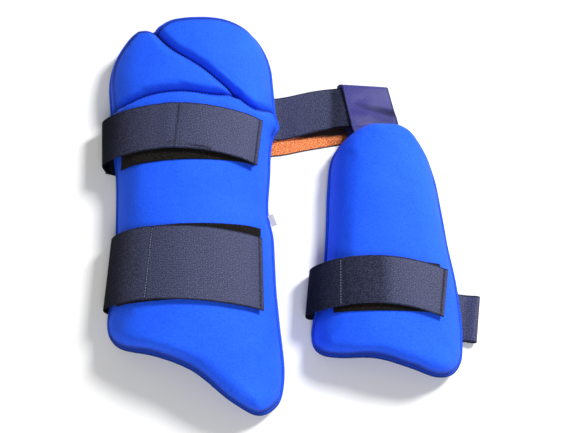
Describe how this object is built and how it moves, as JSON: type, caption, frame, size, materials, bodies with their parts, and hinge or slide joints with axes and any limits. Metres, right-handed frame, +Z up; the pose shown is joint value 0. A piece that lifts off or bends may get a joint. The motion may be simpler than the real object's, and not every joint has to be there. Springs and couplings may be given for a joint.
{
  "type": "cricket thigh guard",
  "caption": "Padded outer and inner thigh guards with elastic leg straps on hook and loop tape, joined by a lined waist belt and a webbing hanger, laid flat",
  "frame": {"origin": "on the surface that the guard lies on, below the middle of its overall box", "axes": "X runs across the guards, from the large one to the small one, Y along them towards the hip end, Z up from the surface"},
  "size_m": [0.389, 0.4174, 0.0652],
  "materials": {
    "blue_cover": "matt stretch knit",
    "blue_backing": "matt stretch knit",
    "navy_elastic": "ribbed woven elastic",
    "hook_tape": "coarse hook tape",
    "loop_tape": "fuzzy loop tape",
    "white_tape": "plain woven tape",
    "orange_lining": "brushed lining",
    "purple_webbing": "satin ribbed webbing"
  },
  "bodies": {
    "root": {"outer_pad": "blue_cover", "outer_back_panel": "blue_backing", "outer_upper_strap": "navy_elastic", "outer_upper_hook_tab": "hook_tape", "outer_upper_loop_patch": "loop_tape", "outer_lower_strap": "navy_elastic", "outer_lower_hook_tab": "hook_tape", "outer_lower_loop_patch": "loop_tape", "outer_label": "white_tape", "waist_belt_elastic": "navy_elastic", "waist_belt_lining": "orange_lining", "inner_hanger_loop": "purple_webbing", "inner_pad": "blue_cover", "inner_back_panel": "blue_backing", "inner_strap": "navy_elastic", "inner_hook_tab": "hook_tape", "inner_loop_patch": "loop_tape"}
  },
  "joints": []
}
